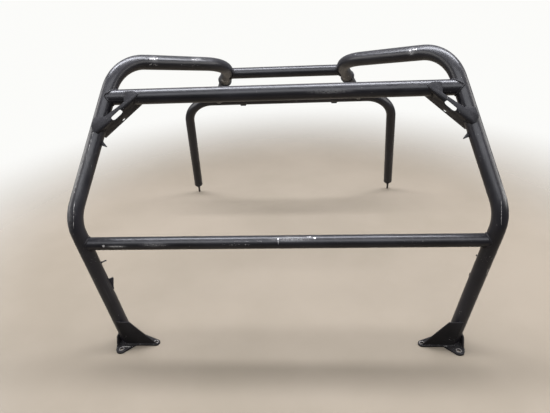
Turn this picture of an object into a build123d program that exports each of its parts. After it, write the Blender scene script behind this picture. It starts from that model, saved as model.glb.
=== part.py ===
from build123d import *
import os

# Headache rack for a utility bed: a bent-tube hoop stands on two foot plates at the front,
# two braces run back from it to a rear hoop that stands on two locating studs.
# Millimetres. +X is to the right seen from the front hoop, +Y runs back to the rear hoop, +Z is up.
# The origin is on the ground, midway between the two sides and between front and back.
# Every paired piece is designed for the right side (+X) and mirrored for the left.

# Tube stock: outside radii and walls. The slim tube slips into the main tube.
MAIN_R = 25.4
MAIN_WALL = 3.2
SLIM_R = 22.2
SLIM_WALL = 3.0
HOOP_R = 23.8
HOOP_WALL = 3.0
ELBOW_BEND = 146.0
SHOULDER_BEND = 146.0
INNER_BEND_RADIUS = 185.0
HOOP_BEND = 140.0

# Corner points of the side tube's axis, right side, from the floor to the rear hoop
FOOT_Y = -610.0
LEG_FOOT = (608.0, FOOT_Y, 0.0)
ELBOW = (686.0, -632.0, 544.0)
SHOULDER = (544.0, -347.0, 992.0)
INNER_BEND = (215.0, -29.0, 908.0)

# Rear hoop: its top rail's axis and where its legs' axes would reach the floor
RAIL_Y = 420.0
RAIL_Z = 644.0
HOOP_CORNER_X = 520.0
HOOP_FOOT = (585.0, 681.0, 0.0)
HOOP_LEG_CUT = 74.0
BRACE_X = 358.0

# Where the crossbars sit, as shares of the lower and upper leg runs, and how far the link bar and
# the splice are behind the inner bend's corner
LOWER_BAR_SHARE = 0.829
UPPER_BAR_SHARE = 0.769
LINK_FROM_CORNER = 110.0
SPLICE_FROM_CORNER = 200.0
SLIP_DEPTH = 45.0

# Coped ends stop short of the crossing axis, so that the feather edges are dressed off
COPE_DRESS = 4.0

# Plates welded on sit this deep in a shallow flat cope on the tube
SEAT = 1.0

# Foot plates
PLATE_T = 6.0
FOOT_HOLE_R = 6.5
INNER_HOLE = (497.0, FOOT_Y - 18.0)
INNER_LOBE_R = 14.0
OUTER_HOLE = (619.0, FOOT_Y - 54.0)
OUTER_LOBE_R = 20.0
OUTER_NECK_HALF = 18.0
OUTER_NECK_FRONT = 8.8
PLATE_NOTCH_X = 571.0
PLATE_OUTER_X = 641.0
PLATE_HEEL_X = 576.0
PLATE_BACK_Y = FOOT_Y + 33.0
GUSSET_T = 5.0
GUSSET_TIP_X = 488.0
GUSSET_TOP_X = 577.0
GUSSET_TOP = 118.0

# Low gusset on the leg's outer side: distances in front of and behind the leg's axis, and heights
SIDE_NOSE = 60.0
SIDE_TOP_START = 20.0
SIDE_TAIL = 22.0
SIDE_TOP = 43.0
SIDE_ROUND = 5.0

# Corner bracket: folded sheet over the joint of the leg and the upper bar. Its outline is drawn in
# the plane of the two tubes: u inwards along the bar, v down the slope, from where their axes cross.
BRACKET_T = 3.0
BRACKET_DEPTH = 68.0
BRACKET_FOLD_R = 9.0
FOLD_BAR_END = (120.0, 1.0)
FOLD_LEG_END = (-19.0, 127.0)
BRACKET_OUTLINE = [
    (68.0, -10.0),
    (98.0, -10.0),
    FOLD_BAR_END,
    FOLD_LEG_END,
    (-31.0, 121.0),
    (-39.0, 101.0),
    (-31.0, 73.0),
    (4.0, 72.0),
    (67.0, 26.0),
]
BRACKET_CORNER_R = 6.0
# Window across the fold: measured along the fold from its leg end, into the face, and into the web.
# The web laps a little way round behind each tube.
WINDOW_FROM = 66.0
WINDOW_TO = 108.0
WINDOW_IN_FACE = 9.0
WINDOW_IN_WEB = 20.0
WINDOW_R = 5.0
WINDOW_WEB_R = 12.0
WEB_HOLE_AT = 88.0
WEB_HOLE_DEPTH = 59.0
WEB_HOLE_R = 6.5
WEB_WRAP = 16.0

# Small welded-on fittings on the legs: heights and reaches. The tab and the peg are turned round
# the leg from straight inwards towards the back, by a different angle on each side.
HOOK_Z = 765.0
HOOK_T = 5.0
HOOK_ROOT = 16.0
HOOK_OUT = 19.0
HOOK_DROP = 10.0
HOOK_TIP = 3.0
TAB_TOP_Z = 286.0
TAB_HEIGHT = 44.0
TAB_OUT = 15.0
TAB_T = 4.0
PEG_Z = 359.0
PEG_R = 2.5
PEG_OUT = 18.0
FITTING_TURN = {"left": 31.0, "right": 78.0}

# Ends of the rear legs
PLUG_LIP = 14.0
PLUG_SHANK = 22.0
PLUG_CHAMFER = 10.0
STUD_R = 6.0
STUD_POINT = 2.5
SPIGOT_R = 4.0
SPIGOT_LENGTH = 29.0

# Tabs under the rear rail
RAIL_TAB_X = 232.0
RAIL_TAB_LENGTH = 28.0
RAIL_TAB_T = 5.0
RAIL_TAB_DROP = 6.0


def rod(path, radius):
    """A solid round bar along a path."""
    return sweep(Plane(origin=path @ 0, z_dir=path % 0) * Circle(radius), path=path)


def straight_rod(start, end, radius):
    """A solid round bar from point to point."""
    return rod(Line(start, end), radius)


def mirrored(shape):
    """The same piece on the other side."""
    return mirror(shape, about=Plane.YZ)


def share_of(start, end, share):
    """The point that share of the way from start to end."""
    return start + (end - start) * share


def coped(shape, *neighbours):
    """A piece with the room its neighbours take cut out of it."""
    for neighbour in neighbours:
        shape = shape - neighbour
    return shape


def save(name, shape):
    """Writes one node's STEP file."""
    export_step(Compound(shape.solids()), f"parts/{name}.step")


def save_pair(name, right_shape):
    """Writes the right-hand piece and its mirror image."""
    save(f"{name}_right", right_shape)
    save(f"{name}_left", mirrored(right_shape))


# ---- axes ----
foot_point = Vector(*LEG_FOOT)
elbow = Vector(*ELBOW)
shoulder = Vector(*SHOULDER)
inner_bend = Vector(*INNER_BEND)
rail_joint = Vector(BRACE_X, RAIL_Y, RAIL_Z)
rail_corner = Vector(HOOP_CORNER_X, RAIL_Y, RAIL_Z)
lower_run = (elbow - foot_point).normalized()
leg_outward = (Vector(1, 0, 0) - lower_run * lower_run.X).normalized()
upper_run = (shoulder - elbow).normalized()
brace_run = (rail_joint - inner_bend).normalized()
rear_leg_run = (Vector(*HOOP_FOOT) - rail_corner).normalized()
splice = inner_bend + brace_run * SPLICE_FROM_CORNER
link_joint = inner_bend + brace_run * LINK_FROM_CORNER
rear_leg_end = Vector(*HOOP_FOOT) - rear_leg_run * HOOP_LEG_CUT
lower_joint = share_of(foot_point, elbow, LOWER_BAR_SHARE)
upper_joint = share_of(elbow, shoulder, UPPER_BAR_SHARE)
side_path = FilletPolyline(
    foot_point,
    elbow,
    shoulder,
    inner_bend,
    splice,
    radius=[ELBOW_BEND, SHOULDER_BEND, INNER_BEND_RADIUS],
)
hoop_path = FilletPolyline(
    rear_leg_end,
    rail_corner,
    Vector(-rail_corner.X, rail_corner.Y, rail_corner.Z),
    Vector(-rear_leg_end.X, rear_leg_end.Y, rear_leg_end.Z),
    radius=HOOP_BEND,
)


def leg_point(z):
    """The lower leg's axis at a height."""
    return share_of(foot_point, elbow, z / elbow.Z)


# ---- tubes ----
side_solid = rod(side_path, MAIN_R)
side_solids = [side_solid, mirrored(side_solid)]
hoop_solid = rod(hoop_path, HOOP_R)
under_leg = Pos(0, 0, PLATE_T - 100) * Box(2000, 2000, 200)


def hollow_rod(start, end, radius, wall):
    """A straight round tube from point to point."""
    return straight_rod(start, end, radius) - straight_rod(start, end, radius - wall)


def cross_tube(joint, radius, wall):
    """A straight tube through both side tubes' joints, coped to them at its ends."""
    reach = joint.X - COPE_DRESS
    tube = hollow_rod(Vector(-reach, joint.Y, joint.Z), Vector(reach, joint.Y, joint.Z), radius, wall)
    return coped(tube, *side_solids)


side_tube = coped(side_solid, rod(side_path, MAIN_R - MAIN_WALL), under_leg)
brace = coped(hollow_rod(splice - brace_run * SLIP_DEPTH, rail_joint, SLIM_R, SLIM_WALL), hoop_solid)
rear_hoop = hoop_solid - rod(hoop_path, HOOP_R - HOOP_WALL)
lower_crossbar = cross_tube(lower_joint, SLIM_R, SLIM_WALL)
upper_crossbar = cross_tube(upper_joint, MAIN_R, MAIN_WALL)
link_bar = cross_tube(link_joint, SLIM_R, SLIM_WALL)


# ---- feet ----
def foot_plate():
    """The flat base plate, with a bolt hole in each of its two lobes."""
    inner = Pos(*INNER_HOLE) * Circle(INNER_LOBE_R)
    outer = Pos(*OUTER_HOLE) * Circle(OUTER_LOBE_R)
    front_y = INNER_HOLE[1] - INNER_LOBE_R
    body = Polygon(
        (INNER_HOLE[0], front_y),
        (PLATE_NOTCH_X, front_y),
        (OUTER_HOLE[0] - OUTER_NECK_HALF, OUTER_HOLE[1] - OUTER_NECK_FRONT),
        (OUTER_HOLE[0] + OUTER_NECK_HALF, OUTER_HOLE[1] - OUTER_NECK_FRONT),
        (PLATE_OUTER_X, OUTER_HOLE[1] + 8),
        (PLATE_OUTER_X, PLATE_BACK_Y),
        (PLATE_HEEL_X, PLATE_BACK_Y),
        (INNER_HOLE[0] - 3, INNER_HOLE[1] + INNER_LOBE_R - 0.4),
        align=None,
    )
    holes = Pos(*INNER_HOLE) * Circle(FOOT_HOLE_R) + Pos(*OUTER_HOLE) * Circle(FOOT_HOLE_R)
    return extrude(body + inner + outer - holes, PLATE_T)


def foot_front_gusset():
    """The triangular gusset across the front of the leg, leaning with it."""
    up = Vector(0, lower_run.Y, lower_run.Z).normalized()
    forward = Vector(1, 0, 0).cross(up)
    plane = Plane(origin=(0, FOOT_Y, 0) + forward * (MAIN_R - SEAT), x_dir=(1, 0, 0), z_dir=forward)
    outline = Polygon(
        (GUSSET_TIP_X, 0),
        (GUSSET_TOP_X, GUSSET_TOP),
        (leg_point(GUSSET_TOP).X, GUSSET_TOP),
        (foot_point.X, 0),
        align=None,
    )
    return coped(extrude(plane * outline, GUSSET_T, dir=forward), side_solid, under_leg)


def foot_side_gusset():
    """The low gusset on the leg's outer side, leaning with it."""
    plane = Plane(
        origin=foot_point + leg_outward * (MAIN_R - SEAT),
        x_dir=lower_run.cross(leg_outward),
        z_dir=leg_outward,
    )
    outline = Polygon(
        (-SIDE_NOSE, 0), (-SIDE_TOP_START, SIDE_TOP), (SIDE_TAIL, SIDE_TOP), (SIDE_TAIL, 0), align=None
    )
    upper_corners = outline.vertices().group_by(Axis.Y)[-1]
    rounded = fillet(upper_corners, SIDE_ROUND)
    return coped(extrude(plane * rounded, GUSSET_T, dir=leg_outward), side_solid, under_leg)


# ---- corner bracket ----
def corner_bracket():
    """Folded sheet: a face over both tubes, and a web back along the fold, with a window and a hole."""
    slope = Vector(0, upper_run.Y, upper_run.Z).normalized()
    face_plane = Plane(origin=upper_joint, x_dir=(-1, 0, 0), z_dir=(0, -slope.Z, slope.Y))
    outline = Polygon(*BRACKET_OUTLINE, align=None)
    fold_ends = [Vector(*FOLD_BAR_END), Vector(*FOLD_LEG_END)]
    corners = [v for v in outline.vertices() if all((Vector(v) - end).length > 1 for end in fold_ends)]
    outline = fillet(corners, BRACKET_CORNER_R)

    # The fold's own frame: x along the fold from the leg end, y away from the corner, z out of the face
    fold_start = face_plane.from_local_coords(Vector(*FOLD_LEG_END))
    along = (face_plane.from_local_coords(Vector(*FOLD_BAR_END)) - fold_start).normalized()
    fold_plane = Plane(origin=fold_start, x_dir=along, z_dir=face_plane.z_dir)
    section_plane = Plane(origin=fold_start, x_dir=fold_plane.y_dir, z_dir=along)

    top = MAIN_R - SEAT + BRACKET_T
    bottom = top - BRACKET_DEPTH
    block = Polygon((-150, bottom), (0, bottom), (0, top), (-150, top), align=None)
    block = fillet(block.vertices().sort_by(lambda v: v.X + v.Y)[-1], BRACKET_FOLD_R)
    hollow = Polygon(
        (-151, bottom - 1),
        (-BRACKET_T, bottom - 1),
        (-BRACKET_T, top - BRACKET_T),
        (-151, top - BRACKET_T),
        align=None,
    )
    hollow = fillet(hollow.vertices().sort_by(lambda v: v.X + v.Y)[-1], BRACKET_FOLD_R - BRACKET_T)
    folded = extrude(section_plane * (block - hollow), 260, both=True)
    sheet = folded & extrude(face_plane * outline, 100, both=True)

    middle = (WINDOW_FROM + WINDOW_TO) / 2
    length = WINDOW_TO - WINDOW_FROM
    face_slot = Pos(middle, 0) * RectangleRounded(length, 2 * WINDOW_IN_FACE, WINDOW_R)
    web_plane = Plane(
        origin=fold_plane.from_local_coords(Vector(middle, 0, top)), x_dir=along, z_dir=fold_plane.y_dir
    )
    web_slot = RectangleRounded(length + 1, 2 * WINDOW_IN_WEB, WINDOW_WEB_R)
    window = extrude(fold_plane * face_slot, 60, both=True) & extrude(web_plane * web_slot, 60, both=True)
    hole_plane = Plane(
        origin=fold_plane.from_local_coords(Vector(WEB_HOLE_AT, 0, top - WEB_HOLE_DEPTH)),
        x_dir=along,
        z_dir=fold_plane.y_dir,
    )
    hole = extrude(hole_plane * Circle(WEB_HOLE_R), 20, both=True)
    bar_start = Vector(-upper_joint.X, upper_joint.Y, upper_joint.Z)
    bar_solid = straight_rod(bar_start, upper_joint, MAIN_R)
    # Behind each tube the web ends a little way round
    room_width = 2 * (MAIN_R - WEB_WRAP)
    behind_tube = Box(400, room_width, 100, align=(Align.CENTER, Align.CENTER, Align.MAX))
    rooms_behind = [
        Plane(origin=upper_joint, x_dir=run, z_dir=face_plane.z_dir) * behind_tube
        for run in (upper_run, Vector(1, 0, 0))
    ]
    return coped(sheet, window, hole, side_solid, bar_solid, *rooms_behind)


# ---- small fittings ----
def hook_tab():
    """The down-turned thorn on the inner side of the upper leg run."""
    point = share_of(elbow, shoulder, (HOOK_Z - elbow.Z) / (shoulder.Z - elbow.Z))
    inward = (Vector(-1, 0, 0) + upper_run * upper_run.X).normalized()
    plane = Plane(origin=point, x_dir=inward, z_dir=inward.cross(upper_run))
    root, tip = MAIN_R - SEAT, MAIN_R + HOOK_OUT
    outline = Polygon(
        (root, HOOK_ROOT / 2),
        (MAIN_R + 4, HOOK_ROOT / 4),
        (tip, HOOK_TIP - HOOK_DROP),
        (tip, -HOOK_DROP),
        (root, -HOOK_ROOT / 2),
        align=None,
    )
    return coped(extrude(plane * outline, HOOK_T / 2, both=True), side_solid)


def fitting_direction(turn):
    """Square to the lower leg, turned from straight inwards towards the back."""
    return -leg_outward.rotate(Axis((0, 0, 0), tuple(lower_run)), -turn)


def lower_tab(turn):
    """The triangular tab on the lower leg run."""
    out = fitting_direction(turn)
    plane = Plane(origin=leg_point(TAB_TOP_Z), x_dir=out, z_dir=out.cross(lower_run))
    root = MAIN_R - SEAT
    outline = Polygon(
        (root, 0),
        (MAIN_R + TAB_OUT, 0),
        (MAIN_R + TAB_OUT, -5),
        (MAIN_R + 1, -TAB_HEIGHT),
        (root, -TAB_HEIGHT),
        align=None,
    )
    return coped(extrude(plane * outline, TAB_T / 2, both=True), side_solid)


def peg(turn):
    """The short round peg above the tab."""
    out = fitting_direction(turn)
    start = leg_point(PEG_Z) + out * (MAIN_R - 4)
    end = leg_point(PEG_Z) + out * (MAIN_R + PEG_OUT)
    return coped(straight_rod(start, end, PEG_R), side_solid)


def rail_tab():
    """The short tab welded under the rear rail."""
    top = RAIL_Z - HOOP_R + SEAT
    height = RAIL_TAB_DROP + SEAT
    block = Pos(RAIL_TAB_X, RAIL_Y, top - height / 2) * Box(RAIL_TAB_LENGTH, RAIL_TAB_T, height)
    lower_corners = block.edges().filter_by(Axis.Y).group_by(Axis.Z)[0]
    return coped(fillet(lower_corners, 3), hoop_solid)


# ---- rear leg ends ----
lip_end = rear_leg_end + rear_leg_run * PLUG_LIP


def spigot():
    """The stud's thinner end, which fills its blind hole in the plug."""
    return straight_rod(lip_end - rear_leg_run * SPIGOT_LENGTH, lip_end, SPIGOT_R)


def stud():
    """The locating stud, standing on the ground with its point."""
    lean = (1 - rear_leg_run.Z**2) ** 0.5
    ground_gap = (STUD_R - STUD_POINT) * lean / -rear_leg_run.Z
    shank = straight_rod(lip_end, Vector(*HOOP_FOOT) - rear_leg_run * ground_gap, STUD_R)
    point_edge = shank.edges().filter_by(GeomType.CIRCLE).sort_by(Axis.Z)[0]
    return chamfer(point_edge, STUD_POINT) + spigot()


def end_plug():
    """The plug in the rear leg's end: a chamfered lip, and a shank inside the tube."""
    lip = straight_rod(rear_leg_end, lip_end, HOOP_R)
    lip = chamfer(lip.edges().filter_by(GeomType.CIRCLE).sort_by(Axis.Z)[0], PLUG_CHAMFER)
    shank = straight_rod(rear_leg_end - rear_leg_run * PLUG_SHANK, rear_leg_end, HOOP_R - HOOP_WALL)
    return coped(lip + shank, spigot())


os.makedirs("parts", exist_ok=True)
save_pair("side_tube", side_tube)
save_pair("brace", brace)
save("lower_crossbar", lower_crossbar)
save("upper_crossbar", upper_crossbar)
save("link_bar", link_bar)
save("rear_hoop", rear_hoop)
save_pair("hoop_end_plug", end_plug())
save_pair("hoop_stud", stud())
save_pair("foot_plate", foot_plate())
save_pair("foot_front_gusset", foot_front_gusset())
save_pair("foot_side_gusset", foot_side_gusset())
save_pair("corner_bracket", corner_bracket())
save_pair("hook_tab", hook_tab())
save_pair("rail_tab", rail_tab())
save("lower_tab_right", lower_tab(FITTING_TURN["right"]))
save("lower_tab_left", mirrored(lower_tab(FITTING_TURN["left"])))
save("peg_right", peg(FITTING_TURN["right"]))
save("peg_left", mirrored(peg(FITTING_TURN["left"])))
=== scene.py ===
import functools
import math
import random

import bmesh
import bpy
import numpy as np
from mathutils import Matrix, Vector
from mathutils.bvhtree import BVHTree


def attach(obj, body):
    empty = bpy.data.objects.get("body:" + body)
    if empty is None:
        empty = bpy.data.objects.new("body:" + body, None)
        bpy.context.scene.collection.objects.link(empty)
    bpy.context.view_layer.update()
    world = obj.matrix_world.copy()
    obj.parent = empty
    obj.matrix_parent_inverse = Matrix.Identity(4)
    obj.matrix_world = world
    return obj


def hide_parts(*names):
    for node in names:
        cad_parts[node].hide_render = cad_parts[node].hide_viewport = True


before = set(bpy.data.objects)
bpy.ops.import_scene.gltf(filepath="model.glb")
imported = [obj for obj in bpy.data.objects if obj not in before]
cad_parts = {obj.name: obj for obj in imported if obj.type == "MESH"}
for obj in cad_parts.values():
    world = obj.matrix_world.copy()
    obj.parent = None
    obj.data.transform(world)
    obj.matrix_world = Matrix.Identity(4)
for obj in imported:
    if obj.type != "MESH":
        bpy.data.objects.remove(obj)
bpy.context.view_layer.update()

# ---- sizes, in metres, in the part's own frame ----
MAIN_R = 0.0254
SLIM_R = 0.0222
HOOP_R = 0.0238
PLATE_TOP = 0.006
FOOT = Vector((0.608, -0.610, 0.0))
ELBOW = Vector((0.686, -0.632, 0.544))
SHOULDER = Vector((0.544, -0.347, 0.992))
INNER_BEND = Vector((0.215, -0.029, 0.908))
RAIL_JOINT = Vector((0.358, 0.420, 0.644))
RAIL_CORNER = Vector((0.520, 0.420, 0.644))
HOOP_FOOT = Vector((0.585, 0.681, 0.0))
SIDE_BENDS = [0.146, 0.146, 0.185]
HOOP_BENDS = [0.140, 0.140]
FOOT_HOLES = {"inner": (0.497, -0.628), "outer": (0.619, -0.664)}
LOWER_RUN = (ELBOW - FOOT).normalized()
UPPER_RUN = (SHOULDER - ELBOW).normalized()
BRACE_RUN = (RAIL_JOINT - INNER_BEND).normalized()
REAR_RUN = (HOOP_FOOT - RAIL_CORNER).normalized()
SPLICE = INNER_BEND + BRACE_RUN * 0.200
LINK_JOINT = INNER_BEND + BRACE_RUN * 0.110
REAR_END = HOOP_FOOT - REAR_RUN * 0.074
PLUG_END = REAR_END + REAR_RUN * 0.014
LOWER_JOINT = FOOT.lerp(ELBOW, 0.829)
UPPER_JOINT = ELBOW.lerp(SHOULDER, 0.769)
SIDES = (("left", -1), ("right", 1))

# ---- fineness of the meshes, in metres or in points round a ring ----
TUBE_POINTS = 72
ARC_STEP = 0.005
RUN_STEP = 0.007
SEAM_POINTS = 60
SEAM_REACH = 0.25
CIRCLE_POINTS = 48
BEAD_POINTS = 12
RIPPLE_PITCH = 0.0035
RIPPLE_STEPS = 4
FLAKE_CORNERS = 9

# ---- how uneven the surfaces are ----
UNEVENNESS = 0.00008
BEND_FLATTENING = 0.00045
LEAST_BEND = 0.01
RUB_AND_HIGHLIGHT_EDGE = 1.4
FLAKE_LIFT, FLAKE_EDGE_LIFT = 0.00012, 0.00006
RING_LIFT = 0.0001
RING_EDGES = ((0.0068, 0.02), (0.0098, 0.14))
SPATTER_LOWEST, SPATTER_FOREMOST = 0.003, -0.680
SPATTER_SIZES = (0.0004, 0.0012)


# ---- node materials ----
def make_node(tree, kind, sockets=None, **settings):
    """A shader node with its settings, its input values and its links."""
    made = tree.nodes.new(kind)
    for name, value in settings.items():
        setattr(made, name, value)
    for name, value in (sockets or {}).items():
        if isinstance(value, bpy.types.NodeSocket):
            tree.links.new(value, made.inputs[name])
        else:
            made.inputs[name].default_value = value
    return made


def noise(tree, vector, scale, detail=3.0, rough=0.55):
    sockets = {"Vector": vector, "Scale": scale, "Detail": detail, "Roughness": rough}
    return make_node(tree, "ShaderNodeTexNoise", sockets).outputs["Fac"]


def remap(tree, value, low, high, out_low=0.0, out_high=1.0):
    sockets = {"Value": value, "From Min": low, "From Max": high}
    sockets |= {"To Min": out_low, "To Max": out_high}
    made = make_node(tree, "ShaderNodeMapRange", sockets, interpolation_type="SMOOTHSTEP")
    return made.outputs["Result"]


def math_node(tree, operation, first, second):
    made = make_node(tree, "ShaderNodeMath", operation=operation, use_clamp=True)
    for index, value in enumerate((first, second)):
        if isinstance(value, bpy.types.NodeSocket):
            tree.links.new(value, made.inputs[index])
        else:
            made.inputs[index].default_value = value
    return made.outputs[0]


def mix_colour(tree, factor, first, second):
    made = make_node(tree, "ShaderNodeMix", data_type="RGBA")
    for index, value in ((0, factor), (6, first), (7, second)):
        if isinstance(value, bpy.types.NodeSocket):
            tree.links.new(value, made.inputs[index])
        elif index == 0:
            made.inputs[index].default_value = value
        else:
            made.inputs[index].default_value = (*value, 1.0)
    return made.outputs[2]


def stretched(tree, vector, scale):
    sockets = {"Vector": vector, "Scale": scale}
    return make_node(tree, "ShaderNodeMapping", sockets).outputs["Vector"]


def bump(tree, height, strength, distance, sockets=None, **settings):
    sockets = {"Height": height, "Strength": strength, "Distance": distance, **(sockets or {})}
    return make_node(tree, "ShaderNodeBump", sockets, **settings).outputs["Normal"]


def attribute(tree, name, output):
    return make_node(tree, "ShaderNodeAttribute", attribute_name=name).outputs[output]


def new_material(name):
    """A node material, its tree, its surface shader and the object's own coordinates."""
    material = bpy.data.materials.new(name)
    material.use_nodes = True
    tree = material.node_tree
    place = make_node(tree, "ShaderNodeTexCoord").outputs["Object"]
    return material, tree, tree.nodes["Principled BSDF"], place


DUST = (0.085, 0.080, 0.078)
# Rubbed grey: worn paint, and also the painted highlights that some rubs lay on the side tubes.
RUBBED_AND_HIGHLIGHT_GREY = (0.20, 0.195, 0.19)
PRIMER = (0.42, 0.40, 0.38)
ALONG_TUBE = (420.0, 420.0, 5.0)
ACROSS_PLATE = (60.0, 60.0, 420.0)


def worn_paint(name, dark, light, gloss, unrolled, specular, coat):
    """Satin black paint, mottled, dusty on top, with streaks, scuffs, painted highlights and specks
    of bare metal.
    """
    material, tree, surface, place = new_material(name)
    along = place
    if unrolled:
        along = attribute(tree, "unrolled", "Vector")
    scuffs_and_highlights = attribute(tree, "scuff_and_highlight", "Fac")
    facing = make_node(tree, "ShaderNodeNewGeometry").outputs["Normal"]
    upward = make_node(tree, "ShaderNodeSeparateXYZ", {0: facing}).outputs["Z"]

    mottle = remap(tree, noise(tree, place, 7.0, 4.0, 0.55), 0.35, 0.68)
    base = mix_colour(tree, mottle, dark, light)
    grain = noise(tree, place, 90.0, 5.0, 0.6)
    settled = remap(tree, upward, 0.2, 1.0)
    dust = math_node(tree, "MULTIPLY", settled, remap(tree, grain, 0.45, 0.72))
    base = mix_colour(tree, math_node(tree, "MULTIPLY", dust, 0.16), base, DUST)

    patches = remap(tree, noise(tree, place, 5.5, 3.0), 0.52, 0.66)
    streak_scale = ALONG_TUBE if unrolled else ACROSS_PLATE
    lines = noise(tree, stretched(tree, along, streak_scale), 1.0, 2.0, 0.4)
    # Scuffs are worn paint, and at some rubs a painted highlight: streaks gather there, and the rub
    # lightens it to the rubbed grey.
    where = math_node(tree, "MAXIMUM", math_node(tree, "MULTIPLY", patches, 0.15), scuffs_and_highlights)
    streaks = math_node(tree, "MULTIPLY", remap(tree, lines, 0.56, 0.70), where)
    ragged = remap(tree, noise(tree, along, 240.0, 6.0, 0.75), 0.40, 0.56)
    rub = math_node(tree, "MULTIPLY", scuffs_and_highlights, ragged)
    worn = math_node(tree, "MAXIMUM", math_node(tree, "MULTIPLY", streaks, 0.55), rub)
    base = mix_colour(tree, worn, base, RUBBED_AND_HIGHLIGHT_GREY)
    specks = remap(tree, noise(tree, place, 300.0, 2.0), 0.715, 0.745)
    clusters = remap(tree, noise(tree, place, 16.0, 2.0), 0.50, 0.62)
    bare = math_node(tree, "MULTIPLY", specks, clusters)
    bare = math_node(tree, "MAXIMUM", bare, remap(tree, rub, 0.82, 0.98))
    base = mix_colour(tree, bare, base, PRIMER)
    tree.links.new(base, surface.inputs["Base Color"])

    uneven = noise(tree, place, 22.0, 5.0, 0.6)
    roughness = remap(tree, uneven, 0.3, 0.7, gloss - 0.03, gloss + 0.05)
    roughness = math_node(tree, "ADD", roughness, math_node(tree, "MULTIPLY", worn, 0.22))
    roughness = math_node(tree, "ADD", roughness, math_node(tree, "MULTIPLY", dust, 0.12))
    tree.links.new(roughness, surface.inputs["Roughness"])
    surface.inputs["Specular IOR Level"].default_value = specular
    surface.inputs["Coat Weight"].default_value = coat
    surface.inputs["Coat Roughness"].default_value = 0.16

    peel = bump(tree, noise(tree, place, 650.0, 2.0), 0.05, 0.0002)
    waves = bump(tree, noise(tree, place, 26.0, 2.0), 0.03, 0.001, {"Normal": peel})
    depth = math_node(tree, "MAXIMUM", worn, bare)
    scored = bump(tree, depth, 0.22, 0.0003, {"Normal": waves}, invert=True)
    tree.links.new(scored, surface.inputs["Normal"])
    return material


def weld_metal(name, bare):
    """Painted weld, lumpy, with the bead's high spots rubbed: the larger bare, the more of them."""
    material, tree, surface, place = new_material(name)
    crest = attribute(tree, "crest", "Fac")
    lumps = noise(tree, place, 260.0, 4.0, 0.65)
    high_spots = remap(tree, lumps, 0.60 - bare, 0.72 - bare)
    rubbed = math_node(tree, "MULTIPLY", high_spots, remap(tree, crest, 0.3, 0.9))
    mottle = remap(tree, noise(tree, place, 60.0), 0.3, 0.7)
    base = mix_colour(tree, mottle, (0.006, 0.0055, 0.0062), (0.014, 0.013, 0.0138))
    base = mix_colour(tree, rubbed, base, (0.30, 0.29, 0.28))
    tree.links.new(base, surface.inputs["Base Color"])
    tree.links.new(math_node(tree, "MULTIPLY", rubbed, 0.7), surface.inputs["Metallic"])
    tree.links.new(remap(tree, lumps, 0.3, 0.7, 0.46, 0.64), surface.inputs["Roughness"])
    surface.inputs["Specular IOR Level"].default_value = 0.16
    tree.links.new(bump(tree, lumps, 0.35, 0.0008), surface.inputs["Normal"])
    return material


def bare_steel(name):
    """Dark oxidised turned steel with fine rings and brown spots."""
    material, tree, surface, place = new_material(name)
    rust = remap(tree, noise(tree, place, 120.0, 5.0, 0.65), 0.52, 0.70)
    tone = noise(tree, place, 40.0)
    base = mix_colour(tree, tone, (0.050, 0.047, 0.044), (0.075, 0.071, 0.067))
    base = mix_colour(tree, math_node(tree, "MULTIPLY", rust, 0.7), base, (0.035, 0.022, 0.015))
    tree.links.new(base, surface.inputs["Base Color"])
    surface.inputs["Metallic"].default_value = 0.9
    tree.links.new(remap(tree, rust, 0.0, 1.0, 0.36, 0.75), surface.inputs["Roughness"])
    fine = noise(tree, stretched(tree, place, (30.0, 30.0, 900.0)), 1.0, 2.0)
    tree.links.new(bump(tree, fine, 0.3, 0.0003), surface.inputs["Normal"])
    return material


def bared_metal(name, dark, light):
    """Metal and primer showing where the paint has been knocked or rubbed off, also laid on as
    flakes that paint a highlight.
    """
    material, tree, surface, place = new_material(name)
    patchy = remap(tree, noise(tree, place, 420.0, 4.0, 0.7), 0.35, 0.65)
    tree.links.new(mix_colour(tree, patchy, dark, light), surface.inputs["Base Color"])
    tree.links.new(remap(tree, patchy, 0.0, 1.0, 0.60, 0.38), surface.inputs["Roughness"])
    surface.inputs["Metallic"].default_value = 0.35
    return material


# Where the floor starts to fade and where it is gone. It is never quite solid, so that the
# start of the fade leaves no line.
FADE_FROM, FADE_TO = 1.1, 2.6
FLOOR_ALPHA = 0.99


def plain_floor(name):
    """A pale warm floor that fades into the white studio around it."""
    material, tree, surface, place = new_material(name)
    cloud = remap(tree, noise(tree, place, 1.3, 5.0, 0.6), 0.3, 0.7)
    base = mix_colour(tree, cloud, (0.138, 0.117, 0.089), (0.156, 0.132, 0.102))
    tree.links.new(base, surface.inputs["Base Color"])
    surface.inputs["Roughness"].default_value = 0.8
    surface.inputs["Specular IOR Level"].default_value = 0.15
    length = make_node(tree, "ShaderNodeVectorMath", {0: place}, operation="LENGTH")
    fade = remap(tree, length.outputs["Value"], FADE_FROM, FADE_TO, FLOOR_ALPHA, 0.0)
    tree.links.new(fade, surface.inputs["Alpha"])
    return material


tube_paint = worn_paint(
    "worn_tube_paint",
    dark=(0.0052, 0.0048, 0.0060),
    light=(0.0100, 0.0094, 0.0114),
    gloss=0.37,
    unrolled=True,
    specular=0.22,
    coat=0.14,
)
plate_paint = worn_paint(
    "worn_plate_paint",
    dark=(0.0070, 0.0066, 0.0078),
    light=(0.0140, 0.0132, 0.0150),
    gloss=0.52,
    unrolled=False,
    specular=0.14,
    coat=0.05,
)
foot_paint = worn_paint(
    "worn_foot_paint",
    dark=(0.0080, 0.0074, 0.0076),
    light=(0.0140, 0.0130, 0.0132),
    gloss=0.60,
    unrolled=False,
    specular=0.06,
    coat=0.0,
)
weld = weld_metal("painted_weld", -0.10)
rubbed_weld = weld_metal("rubbed_weld", 0.06)
speckled_weld = weld_metal("speckled_weld", 0.05)
steel = bare_steel("dull_steel")
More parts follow.
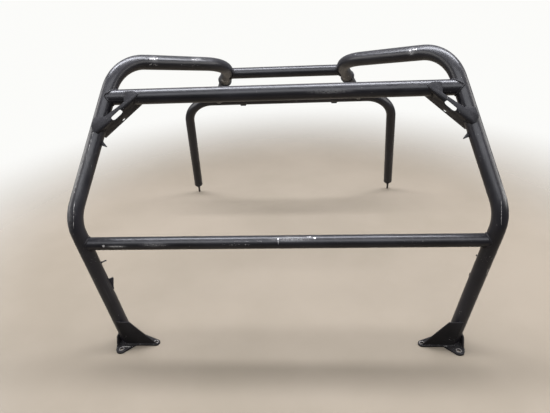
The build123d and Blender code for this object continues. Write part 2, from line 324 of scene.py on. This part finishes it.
# Bared metal: knocked-off paint, and the light flakes that paint highlights on the top run and the
# elbows.
bared = bared_metal("bared_metal", (0.18, 0.17, 0.165), (0.55, 0.53, 0.51))
dulled = bared_metal("dulled_metal", (0.035, 0.032, 0.030), (0.20, 0.185, 0.17))


# ---- mesh building ----
def new_object(name, vertices, faces, material, attributes=None):
    """A smooth mesh object with one material and any values its points carry."""
    mesh = bpy.data.meshes.new(name)
    mesh.from_pydata(vertices, [], faces)
    mesh.materials.append(material)
    for key, values in (attributes or {}).items():
        values = np.asarray(values, np.float32)
        kind, field = ("FLOAT_VECTOR", "vector") if values.ndim == 2 else ("FLOAT", "value")
        mesh.attributes.new(key, kind, "POINT").data.foreach_set(field, values.ravel())
    mesh.shade_smooth()
    obj = bpy.data.objects.new(name, mesh)
    bpy.context.scene.collection.objects.link(obj)
    return obj


def finish_piece(obj, slot, *nodes):
    """The piece rides on the rack and stands for the nodes it was built from; its slot is not used.
    """
    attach(obj, "root")
    if nodes:
        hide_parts(*nodes)
    return obj


def other_side(point):
    """The point's mirror image on the other side of the rack."""
    return Vector((-point.x, point.y, point.z))


def mirrored(side, point):
    """A right-hand point or direction, or its mirror image for the left."""
    return point if side > 0 else other_side(point)


def filleted(points, radii):
    """Points along a path of straight runs joined by arcs."""
    out = [points[0]]
    for before, corner, after, radius in zip(points, points[1:], points[2:], radii):
        back = (before - corner).normalized()
        ahead = (after - corner).normalized()
        half = back.angle(ahead) / 2
        reach = radius / math.tan(half)
        centre = corner + (back + ahead).normalized() * (radius / math.sin(half))
        first, last = corner + back * reach, corner + ahead * reach
        straight_to(out, first)
        start_arm, end_arm = first - centre, last - centre
        turn = start_arm.angle(end_arm)
        axis = start_arm.cross(end_arm).normalized()
        count = max(4, round(turn * radius / ARC_STEP))
        for i in range(1, count + 1):
            out.append(centre + Matrix.Rotation(turn * i / count, 3, axis) @ start_arm)
    straight_to(out, points[-1])
    return out


def straight_to(out, end):
    start = out[-1].copy()
    count = max(1, round((end - start).length / RUN_STEP))
    out.extend(start.lerp(end, i / count) for i in range(1, count + 1))


def frames_along(points, closed=False):
    """Directions along a path, and two square to it that turn as little as possible."""
    count = len(points)
    tangents = []
    for i in range(count):
        ahead = points[(i + 1) % count] if closed else points[min(i + 1, count - 1)]
        behind = points[i - 1] if closed else points[max(i - 1, 0)]
        tangents.append((ahead - behind).normalized())
    first = tangents[0].orthogonal().normalized()
    normals = [first]
    for tangent in tangents[1:]:
        carried = normals[-1] - tangent * normals[-1].dot(tangent)
        normals.append(carried.normalized())
    if closed:
        spare = normals[-1] - tangents[0] * normals[-1].dot(tangents[0])
        turn = math.atan2(spare.cross(first).dot(tangents[0]), spare.dot(first))
        for i in range(count):
            normals[i] = Matrix.Rotation(turn * i / (count - 1), 3, tangents[i]) @ normals[i]
    sides = [t.cross(n) for t, n in zip(tangents, normals)]
    return tangents, normals, sides


def band(first, second, count):
    """The faces between two rings of points, given where each ring starts."""
    steps = ((j, (j + 1) % count) for j in range(count))
    return [(first + j, first + k, second + k, second + j) for j, k in steps]


def ring_faces(rings, around, closed=False):
    """The faces of a pipe whose points run ring after ring."""
    faces = []
    for i in range(rings if closed else rings - 1):
        faces += band(i * around, ((i + 1) % rings) * around, around)
    return faces


def tube(name, path, radius, node, rubs_and_highlights=(), start_plane=None, lip=()):
    """A round tube along a path, a little uneven, with its surface unrolled for the streaks.

    It may be cut level at its start, and its far end may close inwards in a lip."""
    tangents, normals, sides = frames_along(path)
    rng = np.random.default_rng(sum(map(ord, name)))
    angles = np.linspace(0, 2 * math.pi, TUBE_POINTS, endpoint=False)
    waves = [(rng.uniform(20, 60), rng.uniform(0, 6.28), rng.integers(1, 4)) for _ in range(6)]
    vertices, unrolled = [], []
    travelled = 0.0
    for i, centre in enumerate(path):
        travelled += (centre - path[i - 1]).length if i else 0.0
        before, after = tangents[max(i - 2, 0)], tangents[min(i + 2, len(path) - 1)]
        bent = before.angle(after, 0.0) > LEAST_BEND
        outward = (before - after).normalized() if bent else Vector((0, 0, 0))
        for angle in angles:
            across = normals[i] * math.cos(angle) + sides[i] * math.sin(angle)
            uneven = sum(math.sin(travelled * f + p + angle * n) for f, p, n in waves) / 6
            flat = BEND_FLATTENING * max(0.0, across.dot(outward)) ** 2 if bent else 0.0
            vertices.append(centre + across * (radius - UNEVENNESS * (1 + uneven) - flat))
            unrolled.append((radius * math.cos(angle), radius * math.sin(angle), travelled))
    if start_plane is not None:
        for j in range(TUBE_POINTS):
            vertices[j] -= tangents[0] * ((vertices[j].z - start_plane) / tangents[0].z)
    faces = ring_faces(len(path), TUBE_POINTS)
    for inset, ahead in lip:
        base = len(vertices)
        for j in range(TUBE_POINTS):
            spoke = (vertices[(len(path) - 1) * TUBE_POINTS + j] - path[-1]).normalized()
            vertices.append(path[-1] + spoke * (radius - inset) + tangents[-1] * ahead)
            unrolled.append(unrolled[base - TUBE_POINTS + j])
        faces += band(base - TUBE_POINTS, base, TUBE_POINTS)
    places = np.array(vertices)
    # Each rub raises the scuff value: rubbed paint, and at some rubs a painted highlight.
    scuff_and_highlight = np.zeros(len(vertices))
    for point, reach, strength in rubs_and_highlights:
        gap = np.linalg.norm((places - np.array(point)) / np.array(reach), axis=1)
        scuff_and_highlight = np.maximum(scuff_and_highlight, strength * np.clip(RUB_AND_HIGHLIGHT_EDGE - gap, 0, 1))
    obj = new_object(name, vertices, faces, tube_paint, {"unrolled": unrolled, "scuff_and_highlight": scuff_and_highlight})
    return finish_piece(obj, "tube_paint", node)


def bead(name, path, radius, material, closed=True):
    """A weld bead: overlapping ripples laid along a seam."""
    step = RIPPLE_PITCH / RIPPLE_STEPS
    points = even_path(path, step, closed)
    _, normals, sides = frames_along(points, closed)
    rng = random.Random(name)
    vertices, crest = [], []
    swell = [(rng.uniform(60, 200), rng.uniform(0, 6.28)) for _ in range(3)]
    for i, centre in enumerate(points):
        size = 1 + sum(0.07 * math.sin(i * step * f + p) for f, p in swell)
        end = 1.0 if closed else min(1.0, 0.45 + 0.2 * min(i, len(points) - 1 - i))
        for j in range(BEAD_POINTS):
            angle = 2 * math.pi * j / BEAD_POINTS
            ripple = 1 - ((i / RIPPLE_STEPS + 0.18 * math.cos(2 * angle)) % 1.0)
            reach = radius * size * end * (0.90 + 0.12 * ripple)
            spoke = normals[i] * math.cos(angle) + sides[i] * math.sin(angle)
            vertices.append(centre + spoke * reach)
            crest.append(ripple)
    faces = ring_faces(len(points), BEAD_POINTS, closed)
    if not closed:
        last = len(vertices) - 1
        faces.append(tuple(range(BEAD_POINTS)))
        faces.append(tuple(range(last, last - BEAD_POINTS, -1)))
    obj = new_object(name, vertices, faces, material, {"crest": crest})
    return finish_piece(obj, "plate_paint")


def even_path(path, step, closed):
    """The same line with its points evenly spaced."""
    points = list(path) + ([path[0]] if closed else [])
    lengths = [(b - a).length for a, b in zip(points, points[1:])]
    total = sum(lengths)
    count = max(8, round(total / step))
    out, i, gone = [], 0, 0.0
    for k in range(count if closed else count + 1):
        target = total * k / count
        while i < len(lengths) - 1 and gone + lengths[i] < target:
            gone += lengths[i]
            i += 1
        share = (target - gone) / lengths[i] if lengths[i] else 0.0
        out.append(points[i].lerp(points[i + 1], min(1.0, share)))
    return out


@functools.cache
def surface_of(node):
    """The CAD node's surface, for finding where a seam runs."""
    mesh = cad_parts[node].data
    corners = [v.co.copy() for v in mesh.vertices]
    return BVHTree.FromPolygons(corners, [tuple(p.vertices) for p in mesh.polygons])


def ring_seam(node, start, direction, radius):
    """Where a round bar that runs from start towards the node meets its surface."""
    direction = direction.normalized()
    across = direction.orthogonal().normalized()
    other = direction.cross(across)
    out = []
    for i in range(SEAM_POINTS):
        angle = 2 * math.pi * i / SEAM_POINTS
        spoke = across * math.cos(angle) + other * math.sin(angle)
        hit = surface_of(node).ray_cast(start + spoke * radius, direction, SEAM_REACH)[0]
        if hit is not None:
            out.append(hit)
    return out


def spatter(name, node, centre, spread, count, material):
    """Small beads of weld spatter stuck on a node's surface."""
    rng = random.Random(name)
    shape = bmesh.new()
    tree = surface_of(node)
    for _ in range(count):
        guess = centre + Vector([rng.gauss(0, spread) for _ in range(3)])
        spot, normal, _, _ = tree.find_nearest(guess)
        if spot.z < SPATTER_LOWEST or spot.y < SPATTER_FOREMOST:
            continue
        size = rng.uniform(*SPATTER_SIZES)
        upright = normal.to_track_quat("Z", "Y").to_matrix().to_4x4()
        place = Matrix.Translation(spot) @ upright @ Matrix.Diagonal((1, 1, 0.6, 1))
        bmesh.ops.create_icosphere(shape, subdivisions=1, radius=size, matrix=place)
    mesh = bpy.data.meshes.new(name)
    shape.to_mesh(mesh)
    shape.free()
    mesh.materials.append(material)
    mesh.shade_smooth()
    obj = bpy.data.objects.new(name, mesh)
    bpy.context.scene.collection.objects.link(obj)
    return finish_piece(obj, "plate_paint")


def chips_and_highlights(name, node, centre, along, length, width, count, size, grown, metal=bared):
    """Ragged chips in the paint of a node, and some painted highlights laid as flakes, scattered
    along a line and grown along it.
    """
    rng = random.Random(name)
    tree = surface_of(node)
    along = Vector(along).normalized()
    across = along.orthogonal().normalized()
    other = along.cross(across)
    vertices, faces = [], []
    for _ in range(count):
        guess = Vector(centre) + along * rng.uniform(-length, length)
        guess += across * rng.uniform(-width, width) + other * rng.uniform(-width, width)
        spot, normal, _, _ = tree.find_nearest(guess)
        flake_along = (along - normal * along.dot(normal)).normalized()
        flake_across = normal.cross(flake_along)
        reach = size * rng.uniform(0.5, 1.0)
        first = len(vertices)
        vertices.append(spot + normal * FLAKE_LIFT)
        for k in range(FLAKE_CORNERS):
            angle = 2 * math.pi * k / FLAKE_CORNERS
            ragged = reach * rng.uniform(0.6, 1.1)
            step = flake_along * (math.cos(angle) * ragged * grown)
            step += flake_across * (math.sin(angle) * ragged)
            edge, out, _, _ = tree.find_nearest(spot + step)
            vertices.append(edge + out * FLAKE_EDGE_LIFT)
            faces.append((first, first + 1 + k, first + 1 + (k + 1) % FLAKE_CORNERS))
    obj = new_object(name, vertices, faces, metal)
    return finish_piece(obj, "tube_paint")


def bared_ring(name, centre):
    """Paint rubbed off round a bolt hole, where a washer has turned."""
    rng = random.Random(name)
    vertices = []
    for radius, ragged in RING_EDGES:
        for k in range(CIRCLE_POINTS):
            reach = radius * (1 + rng.uniform(-ragged, ragged))
            angle = 2 * math.pi * k / CIRCLE_POINTS
            vertices.append(centre + Vector((math.cos(angle), math.sin(angle), 0)) * reach)
    obj = new_object(name, vertices, ring_faces(2, CIRCLE_POINTS), dulled)
    return finish_piece(obj, "plate_paint")


# ---- tubes ----
# Each step of a lip is how far it lies inside the tube's surface and how far past its end.
LIP = [(0.0006, 0.0006), (0.0032, 0.0006)]
# Each rub is its middle, how far it reaches along each axis, and how far through the paint it goes.
# Some side rubs paint a highlight instead, in the rubbed grey.
SIDE_RUBS_AND_HIGHLIGHTS = {
    "left": [
        ((-0.440, -0.276, 0.984), (0.010, 0.012, 0.014), 0.35),
        # Painted highlight: a hot spot on top of the run, lightened like rubbed paint.
        ((-0.318, -0.154, 0.955), (0.020, 0.020, 0.006), 0.50),
        ((-0.630, -0.530, 0.750), (0.016, 0.050, 0.080), 0.14),
        ((-0.655, -0.575, 0.680), (0.016, 0.050, 0.080), 0.14),
        # Painted highlight: the bright line along the left elbow, lightened like rubbed paint.
        ((-0.690, -0.640, 0.570), (0.012, 0.020, 0.060), 0.30),
    ],
    "right": [
        ((0.441, -0.276, 0.979), (0.012, 0.012, 0.012), 0.50),
        # Painted highlight: the bright streak down the right elbow, lightened like rubbed paint.
        ((0.690, -0.610, 0.620), (0.012, 0.025, 0.070), 0.55),
    ],
}
BAR_RUBS = {
    "lower_crossbar": [
        ((-0.552, -0.650, 0.453), (0.030, 0.005, 0.004), 0.55),
        ((-0.425, -0.649, 0.458), (0.040, 0.006, 0.008), 0.30),
        ((0.030, -0.640, 0.470), (0.060, 0.008, 0.008), 0.50),
    ],
    "upper_crossbar": [((0.160, -0.438, 0.893), (0.060, 0.006, 0.006), 0.40)],
}
SPLICE_RUB = (Vector((0.2353, -0.0223, 0.8705)), (0.014, 0.030, 0.024), 0.28)

for word, side in SIDES:
    here = functools.partial(mirrored, side)
    corners = [here(p) for p in (FOOT, ELBOW, SHOULDER, INNER_BEND, SPLICE)]
    place, reach, strength = SPLICE_RUB
    tube(
        f"side_tube_skin_{word}",
        filleted(corners, SIDE_BENDS),
        MAIN_R,
        f"side_tube_{word}",
        rubs_and_highlights=[*SIDE_RUBS_AND_HIGHLIGHTS[word], (here(place), reach, strength)],
        start_plane=PLATE_TOP,
        lip=LIP,
    )
    ends = [here(SPLICE - BRACE_RUN * 0.010), here(RAIL_JOINT - BRACE_RUN * 0.006)]
    tube(f"brace_skin_{word}", filleted(ends, []), SLIM_R, f"brace_{word}")

# How far each bar's skin stops short of the middle of the leg.
BARS = [
    ("lower_crossbar", LOWER_JOINT, SLIM_R, 0.004),
    ("upper_crossbar", UPPER_JOINT, MAIN_R, 0.0005),
    ("link_bar", LINK_JOINT, SLIM_R, 0.004),
]
for name, joint, radius, short in BARS:
    end = joint - Vector((short, 0, 0))
    run = filleted([other_side(end), end], [])
    tube(f"{name}_skin", run, radius, name, rubs_and_highlights=BAR_RUBS.get(name, ()))

hoop_corners = [other_side(REAR_END), other_side(RAIL_CORNER), RAIL_CORNER, REAR_END]
tube("rear_hoop_skin", filleted(hoop_corners, HOOP_BENDS), HOOP_R, "rear_hoop")

ALONG_LEG = (0.142, 0.285, 0.448)
SCRATCH, SCRATCH_B = (-0.6218, -0.5241, 0.7609), (-0.6524, -0.5685, 0.6889)
LOW_ON_LEG = (0.6685, -0.6460, 0.3385)
ELBOW_LEFT = (-0.6722, -0.6400, 0.5690)
ELBOW_LEFT_RUN = (-0.0105, -0.0367, -0.0946)
ELBOW_RIGHT = (0.6740, -0.6450, 0.5580)
ELBOW_RIGHT_RUN = (0.0060, -0.0250, -0.0900)
X = (1, 0, 0)
ROUND_BAR = (0, -0.5, -1)
UP_LEG = (0.14, 0, 1)
TOP_LEFT = (0.71, 0.68, -0.18)
BEND_LEFT = (0.61, 0.71, -0.19)
BEND_RIGHT = (0.61, -0.71, 0.19)
LOW_BAR, LEFT, RIGHT = "lower_crossbar", "side_tube_left", "side_tube_right"
LEFT_FOOT, RIGHT_FOOT = "foot_plate_left", "foot_plate_right"
# Each row is a name, the node, the middle and direction of the line, its half length and half
# width, the number of chips, their size, and how much longer than wide they are.
# Most rows are chips in the paint; top_run_left and the two elbow rows are painted highlights.
CHIPS_AND_HIGHLIGHTS = [
    ("bar_spot", LOW_BAR, (-0.5946, -0.652, 0.455), X, 0.001, 0.0008, 6, 0.0052, 1.0),
    ("bar_streak", LOW_BAR, (-0.552, -0.6515, 0.4528), X, 0.023, 0.0008, 16, 0.0012, 2.4),
    ("bar_scrape", LOW_BAR, (-0.42, -0.651, 0.456), X, 0.035, 0.003, 12, 0.0008, 3.0),
    ("bar_tick", LOW_BAR, (-0.013, -0.645, 0.466), ROUND_BAR, 0.01, 0.0006, 12, 0.0013, 1.8),
    ("bar_tick_top", LOW_BAR, (-0.014, -0.64, 0.47), ROUND_BAR, 0.002, 0.0008, 4, 0.0024, 1.2),
    ("bar_rub_middle", LOW_BAR, (-0.11, -0.645, 0.466), X, 0.05, 0.0012, 12, 0.0006, 5.0),
    ("bar_rub_low", LOW_BAR, (-0.154, -0.651, 0.456), X, 0.045, 0.0015, 12, 0.0006, 5.0),
    ("bar_spot_right", LOW_BAR, (0.105, -0.638, 0.471), X, 0.001, 0.0008, 6, 0.0046, 1.0),
    ("bar_tick_right", LOW_BAR, (0.088, -0.633, 0.4735), X, 0.006, 0.001, 6, 0.002, 1.5),
    ("bend_bars_left", LEFT, (-0.442, -0.277, 0.985), BEND_LEFT, 0.015, 0.0025, 18, 0.0018, 1.6),
    ("bend_low_left", LEFT, (-0.442, -0.286, 0.966), BEND_LEFT, 0.015, 0.0025, 12, 0.0009, 1.6),
    # Painted highlight: a hot spot on top of the run, laid on as bare-metal flakes.
    ("top_run_left", LEFT, (-0.318, -0.155, 0.956), TOP_LEFT, 0.022, 0.0012, 10, 0.001, 3.0),
    ("knock_right", RIGHT, (0.448, -0.284, 0.9862), BEND_RIGHT, 0.005, 0.002, 8, 0.003, 1.4),
    ("knock_right_b", RIGHT, (0.435, -0.271, 0.9815), BEND_RIGHT, 0.003, 0.002, 6, 0.0022, 1.2),
    ("knock_right_c", RIGHT, (0.4412, -0.281, 0.973), BEND_RIGHT, 0.008, 0.004, 14, 0.0009, 1.2),
    ("leg_chip_right", RIGHT, LOW_ON_LEG, UP_LEG, 0.011, 0.002, 14, 0.003, 1.8, dulled),
    ("leg_scratch_left", LEFT, SCRATCH, ALONG_LEG, 0.06, 0.0007, 14, 0.0004, 16.0),
    ("leg_scratch_left_b", LEFT, SCRATCH_B, ALONG_LEG, 0.07, 0.0007, 14, 0.0004, 16.0),
    # Painted highlights: bright lines along both elbows, laid on as bare-metal flakes.
    ("elbow_left", LEFT, ELBOW_LEFT, ELBOW_LEFT_RUN, 0.045, 0.0005, 44, 0.0005, 7.0),
    ("elbow_right", RIGHT, ELBOW_RIGHT, ELBOW_RIGHT_RUN, 0.04, 0.0006, 26, 0.0007, 5.0),
    ("foot_worn_left", LEFT_FOOT, (-0.6044, -0.6535, 0.006), X, 0.015, 0.0012, 26, 0.0012, 3.0),
    ("foot_worn_right", RIGHT_FOOT, (0.5787, -0.6425, 0.006), X, 0.008, 0.001, 14, 0.0011, 2.6),
    ("splice_flecks_left", LEFT, (-0.261, 0.076, 0.819), X, 0.018, 0.016, 18, 0.0034, 1.3),
    ("splice_flecks_right", RIGHT, (0.261, 0.076, 0.819), X, 0.018, 0.016, 18, 0.0034, 1.3),
]
for flaws_and_highlights in CHIPS_AND_HIGHLIGHTS:
    chips_and_highlights(*flaws_and_highlights)

# ---- plates and fittings keep their CAD shape, with the edges broken ----
FITTINGS = ["foot_plate", "foot_front_gusset", "foot_side_gusset", "corner_bracket", "hook_tab"]
FITTINGS += ["rail_tab", "lower_tab", "peg", "hoop_end_plug", "hoop_stud"]
SMALL_FITTINGS = ("peg", "hook_tab", "lower_tab", "hoop_stud")
SMALL_EDGE, PLATE_EDGE = 0.0005, 0.0009
SHARP_CORNER = math.radians(35)
MERGED_WITHIN = 0.00001
for kind in FITTINGS:
    for word, _ in SIDES:
        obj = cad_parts[f"{kind}_{word}"]
        obj.data.materials.clear()
        paint = foot_paint if kind.startswith("foot") else plate_paint
        obj.data.materials.append(steel if kind == "hoop_stud" else paint)
        joined = obj.modifiers.new("joined", "WELD")
        joined.merge_threshold = MERGED_WITHIN
        broken = obj.modifiers.new("broken_edges", "BEVEL")
        broken.width = SMALL_EDGE if kind in SMALL_FITTINGS else PLATE_EDGE
        broken.segments = 2
        broken.limit_method = "ANGLE"
        broken.angle_limit = SHARP_CORNER
        broken.harden_normals = True
        obj.data.shade_smooth()

# ---- welds ----
CORNER_GAP = 0.0022
CONTACT_STEP = 0.004
CLOSEST_SPOTS, WIDEST_GAP = 0.0012, 0.0075
SHORTEST_LINE = 0.014


def circle(centre, direction, radius):
    """Points round a circle that faces along a direction."""
    across = direction.orthogonal().normalized()
    up = direction.cross(across)
    turns = (2 * math.pi * i / CIRCLE_POINTS for i in range(CIRCLE_POINTS))
    return [centre + (across * math.cos(t) + up * math.sin(t)) * radius for t in turns]


def contact_line(node, touched):
    """Points along a plate's edges where it lies against another piece."""
    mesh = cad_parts[node].data
    tree = surface_of(touched)
    spots = []
    for edge in mesh.edges:
        a, b = (mesh.vertices[i].co for i in edge.vertices)
        steps = max(1, math.ceil((b - a).length / CONTACT_STEP))
        for i in range(steps + 1):
            point = a.lerp(b, i / steps)
            found, _, _, gap = tree.find_nearest(point)
            if found is not None and gap < CORNER_GAP:
                spots.append(point.copy())
    return spots


def chained(spots):
    """Spots strung into lines by always going on to the nearest one that is left."""
    left, lines = list(spots), []
    while left:
        line = [left.pop()]
        for _ in range(2):
            while left:
                k = min(range(len(left)), key=lambda i: (left[i] - line[-1]).length)
                gap = (left[k] - line[-1]).length
                if gap > WIDEST_GAP:
                    break
                spot = left.pop(k)
                if gap > CLOSEST_SPOTS:
                    line.append(spot)
            line.reverse()
        if sum((b - a).length for a, b in zip(line, line[1:])) > SHORTEST_LINE:
            lines.append(line)
    return lines


def edge_beads(name, node, touched, radius, material, behind=None):
    """Beads along a plate's contact with another piece.

    With a point given, only the contact that lies behind that point of the bracket's face."""
    spots = contact_line(node, touched)
    if behind is not None:
        spots = [spot for spot in spots if (spot - behind).dot(FACE_OUT) < 0]
    for i, line in enumerate(chained(spots)):
        bead(f"{name}_{i}", line, radius, material, closed=False)


# The bracket's face lies in the plane of the leg and the bar. Its seams are in millimetres:
# u runs inwards along the bar, and v runs down the slope.
FACE_OUT = Vector((0, -UPPER_RUN.z, UPPER_RUN.y)).normalized()
FACE_DOWN = FACE_OUT.cross(Vector((-1, 0, 0)))
FACE_LEVEL = 0.0235
BRACKET_SEAMS = [
    [(69, -9.6), (84, -9.8), (97, -9.4), (108, -4.5), (117, 0.2)],
    [(-29, 74), (-33.5, 84), (-38, 97), (-37.5, 105), (-32, 118), (-27, 122)],
]
BRACKET_BACK = UPPER_JOINT + FACE_OUT * 0.014


def on_face(u, v):
    """The point of the bracket's face at u and v."""
    inwards, down = Vector((-1, 0, 0)) * (u / 1000), FACE_DOWN * (v / 1000)
    return UPPER_JOINT + inwards + down + FACE_OUT * FACE_LEVEL


# Each bar's joint with the leg, its radius, and the size of its bead.
BAR_WELDS = {
    "lower_bar": (LOWER_JOINT, SLIM_R, 0.0036),
    "upper_bar": (UPPER_JOINT, MAIN_R, 0.0030),
    "link_bar": (LINK_JOINT, SLIM_R, 0.0042),
}
# Each ring's radius, how far along the brace it lies, and the size of its bead.
SPLICE_RINGS = [(MAIN_R + 0.0002, -0.0010, 0.0042), (SLIM_R + 0.0024, 0.0040, 0.0040)]
# Each ring's radius, and how far below the plug it lies.
STUD_RINGS = [(0.0092, 0.0010), (0.0080, 0.0044), (0.0070, 0.0078), (0.0060, 0.0110)]
RAIL_BEAD, FOOT_BEAD, FACE_BEAD, PLUG_BEAD, STUD_BEAD = 0.0046, 0.0044, 0.0027, 0.0022, 0.0030
BRACKET_EDGE, GUSSET_EDGE, GUSSET_FOOT = 0.0022, 0.0022, 0.0030
HOOK_EDGE, TAB_EDGE, RAIL_TAB_EDGE = 0.0018, 0.0020, 0.0026
SPATTER_AT_FOOT = Vector((0, -0.04, 0.006))

for word, side in SIDES:
    here = functools.partial(mirrored, side)
    leg, plate, hoop = f"side_tube_{word}", f"foot_plate_{word}", "rear_hoop"
    bracket = f"corner_bracket_{word}"
    for kind, (x, y) in FOOT_HOLES.items():
        middle = Vector((side * x, y, PLATE_TOP + RING_LIFT))
        bared_ring(f"{kind}_hole_ring_{word}", middle)

    outward = Vector((side, 0, 0))
    for name, (joint, radius, size) in BAR_WELDS.items():
        seam = ring_seam(leg, here(joint) - outward * 0.08, outward, radius)
        bead(f"{name}_weld_{word}", seam, size, weld)
        spatter(f"{name}_spatter_{word}", leg, here(joint) - outward * 0.024, 0.022, 24, weld)

    run = here(BRACE_RUN)
    seam = ring_seam(hoop, here(RAIL_JOINT) - run * 0.10, run, SLIM_R)
    bead(f"rail_weld_{word}", seam, RAIL_BEAD, weld)
    spatter(f"rail_spatter_{word}", hoop, here(RAIL_JOINT) - run * 0.02, 0.02, 20, weld)

    down = -here(LOWER_RUN)
    seam = ring_seam(plate, here(FOOT) - down * 0.10, down, MAIN_R)
    bead(f"foot_weld_{word}", seam, FOOT_BEAD, rubbed_weld)
    spatter(f"foot_spatter_{word}", plate, here(FOOT) + SPATTER_AT_FOOT, 0.02, 30, weld)

    for k, (radius, shift, size) in enumerate(SPLICE_RINGS):
        ring = circle(here(SPLICE) + run * shift, run, radius)
        bead(f"splice_weld_{k}_{word}", ring, size, speckled_weld)
    behind_splice = here(SPLICE) - run * 0.012
    spatter(f"splice_spatter_{word}", leg, behind_splice, 0.02, 60, speckled_weld)

    for k, line in enumerate(BRACKET_SEAMS):
        points = [here(on_face(u, v)) for u, v in line]
        bead(f"bracket_face_weld_{k}_{word}", points, FACE_BEAD, weld, closed=False)
    for touched in (leg, "upper_crossbar"):
        name = f"bracket_{touched}_weld_{word}"
        edge_beads(name, bracket, touched, BRACKET_EDGE, weld, here(BRACKET_BACK))

    rear = here(REAR_RUN)
    ring = circle(here(REAR_END) + rear * 0.0002, rear, HOOP_R - 0.0012)
    bead(f"plug_weld_{word}", ring, PLUG_BEAD, weld)
    for k, (radius, shift) in enumerate(STUD_RINGS):
        ring = circle(here(PLUG_END) + rear * shift, rear, radius)
        bead(f"stud_weld_{k}_{word}", ring, STUD_BEAD, weld)

    for kind in ("foot_front_gusset", "foot_side_gusset"):
        gusset = f"{kind}_{word}"
        edge_beads(f"{kind}_leg_weld_{word}", gusset, leg, GUSSET_EDGE, weld)
        edge_beads(f"{kind}_plate_weld_{word}", gusset, plate, GUSSET_FOOT, rubbed_weld)
    edge_beads(f"hook_weld_{word}", f"hook_tab_{word}", leg, HOOK_EDGE, weld)
    edge_beads(f"lower_tab_weld_{word}", f"lower_tab_{word}", leg, TAB_EDGE, weld)
    edge_beads(f"peg_weld_{word}", f"peg_{word}", leg, TAB_EDGE, weld)
    edge_beads(f"rail_tab_weld_{word}", f"rail_tab_{word}", hoop, RAIL_TAB_EDGE, weld)

# ---- camera, light and floor ----
SENSOR_WIDTH = 36.0
FOCAL_SHARE = 462.20 / 550.0  # the focal length over the sensor's width
YAW, PITCH, ROLL = (math.radians(a) for a in (-4.0935, 28.0707, 2.7566))
CAMERA_AT = Vector((0.07267, -1.91186, 1.26967))
ahead = Vector((math.sin(YAW), math.cos(YAW), 0)) * math.cos(PITCH)
ahead.z = -math.sin(PITCH)
level = Vector((math.cos(YAW), -math.sin(YAW), 0))
below = ahead.cross(level)
right = level * math.cos(ROLL) + below * math.sin(ROLL)
below = below * math.cos(ROLL) - level * math.sin(ROLL)
lens = bpy.data.cameras.new("camera")
lens.sensor_width = SENSOR_WIDTH
lens.lens = FOCAL_SHARE * SENSOR_WIDTH
camera = bpy.data.objects.new("camera", lens)
axes = Matrix((right, -below, -ahead)).transposed().to_4x4()
camera.matrix_world = Matrix.Translation(CAMERA_AT) @ axes
bpy.context.scene.collection.objects.link(camera)
bpy.context.scene.camera = camera

FLOOR_REACH = 9
FLOOR_DROP = 0.0004
floor_mesh = bpy.data.meshes.new("floor")
corners = [(x * FLOOR_REACH, y * FLOOR_REACH, 0) for x, y in ((-1, -1), (1, -1), (1, 1), (-1, 1))]
floor_mesh.from_pydata(corners, [], [(0, 1, 2, 3)])
floor_mesh.materials.append(plain_floor("pale_floor"))
floor = bpy.data.objects.new("floor", floor_mesh)
floor.location.z = -FLOOR_DROP
bpy.context.scene.collection.objects.link(floor)


def softbox(name, place, target, width, height, power, colour):
    """A rectangular lamp hung at a place and aimed at a target."""
    light = bpy.data.lights.new(name, "AREA")
    light.shape = "RECTANGLE"
    light.size, light.size_y = width, height
    light.energy = power
    light.color = colour
    obj = bpy.data.objects.new(name, light)
    obj.location = place
    obj.rotation_euler = (Vector(target) - Vector(place)).to_track_quat("-Z", "Y").to_euler()
    bpy.context.scene.collection.objects.link(obj)


GROUND_GREY = (0.10, 0.10, 0.10)
WALL_GREY = (0.60, 0.60, 0.60)
CEILING_WHITE = (0.74, 0.75, 0.79)
BACKDROP = (0.97, 0.97, 0.95)
COOL, COOLEST, WARM = (0.93, 0.95, 1.0), (0.90, 0.92, 1.0), (1.0, 0.98, 0.95)
world = bpy.data.worlds.new("studio")
world.use_nodes = True
sky = world.node_tree
heading = make_node(sky, "ShaderNodeTexCoord").outputs["Generated"]
toward = make_node(sky, "ShaderNodeSeparateXYZ", {0: heading})
height = remap(sky, toward.outputs["Z"], -0.1, 0.9)
ceiling = mix_colour(sky, height, GROUND_GREY, CEILING_WHITE)
wall = remap(sky, toward.outputs["Y"], 0.0, 0.9, 0.0, 0.35)
lit = mix_colour(sky, wall, ceiling, WALL_GREY)
seen = make_node(sky, "ShaderNodeLightPath").outputs["Is Camera Ray"]
shown = mix_colour(sky, seen, lit, BACKDROP)
sky.links.new(shown, sky.nodes["Background"].inputs["Color"])
bpy.context.scene.world = world
softbox("overhead", (0.0, 0.25, 3.0), (0, 0, 0.6), 4.6, 0.70, 360.0, COOLEST)
softbox("front", (0.0, -2.6, 2.7), (0, 0, 0.5), 4.2, 1.6, 110.0, COOL)
softbox("left_side", (-3.0, -0.3, 1.5), (0, 0, 0.6), 2.2, 1.5, 56.0, WARM)
softbox("right_side", (3.0, -0.3, 1.5), (0, 0, 0.6), 2.2, 1.5, 56.0, WARM)
bpy.context.scene.view_settings.view_transform = "Standard"
